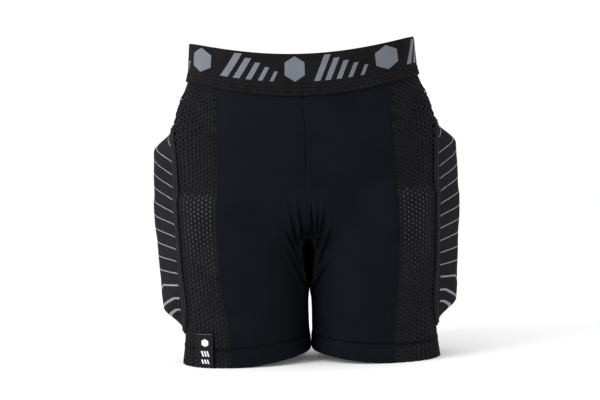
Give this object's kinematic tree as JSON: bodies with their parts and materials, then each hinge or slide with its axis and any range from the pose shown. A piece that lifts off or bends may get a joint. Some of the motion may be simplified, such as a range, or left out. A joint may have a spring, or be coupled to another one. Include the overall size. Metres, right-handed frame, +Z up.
{
  "type": "padded impact shorts",
  "caption": "Padded impact shorts: stretch shorts with mesh sides, moulded foam pads over the hips and tailbone, an elastic waistband and stitched-on label flaps.",
  "frame": {"origin": "middle of the bounding box on the plane of the hems, between the two legs", "axes": "+Z up from the hems to the waist, -Y the way the wearer faces, +X the wearer's left"},
  "size_m": [0.4108, 0.2562, 0.428],
  "materials": {
    "elastic_waistband": "dense woven elastic, ribbed along its lower edge, with woven grey motifs",
    "stretch_knit": "fine matt warp knit with a faint sheen",
    "side_mesh": "open honeycomb knitted mesh",
    "lining_knit": "plain matt knit",
    "pad_foam": "closed-cell foam",
    "pad_cover": "charcoal knit over moulded foam, with thin reflective grey lines",
    "pad_binding": "folded tape with two rows of stitches",
    "woven_label": "satin woven tape",
    "care_label": "printed satin tape"
  },
  "bodies": {
    "shorts": {"waistband": "elastic_waistband", "crotch_gusset": "stretch_knit", "front_panel_left": "stretch_knit", "back_panel_left": "stretch_knit", "side_mesh_left": "side_mesh", "side_lining_left": "lining_knit", "hip_pad_foam_left": "pad_foam", "hip_pad_cover_left": "pad_cover", "hip_pad_binding_left": "pad_binding", "front_panel_right": "stretch_knit", "back_panel_right": "stretch_knit", "side_mesh_right": "side_mesh", "side_lining_right": "lining_knit", "hip_pad_foam_right": "pad_foam", "hip_pad_cover_right": "pad_cover", "hip_pad_binding_right": "pad_binding", "tailbone_pad_foam": "pad_foam", "tailbone_pad_cover": "pad_cover", "tailbone_pad_binding": "pad_binding"},
    "hem_label": {"hem_label": "woven_label"},
    "care_label": {"care_label": "care_label"}
  },
  "joints": [
    {"name": "hem_label_flap", "type": "hinge", "parent": "shorts", "child": "hem_label", "pos_m": [-0.13887, -0.0928, 0.0465], "axis": [-0.8503, 0.5263, 0], "range_deg": [0, 150]},
    {"name": "care_label_flap", "type": "hinge", "parent": "shorts", "child": "care_label", "pos_m": [0, 0.08731, 0.372], "axis": [-1, 0, 0], "range_deg": [0, 120]}
  ]
}
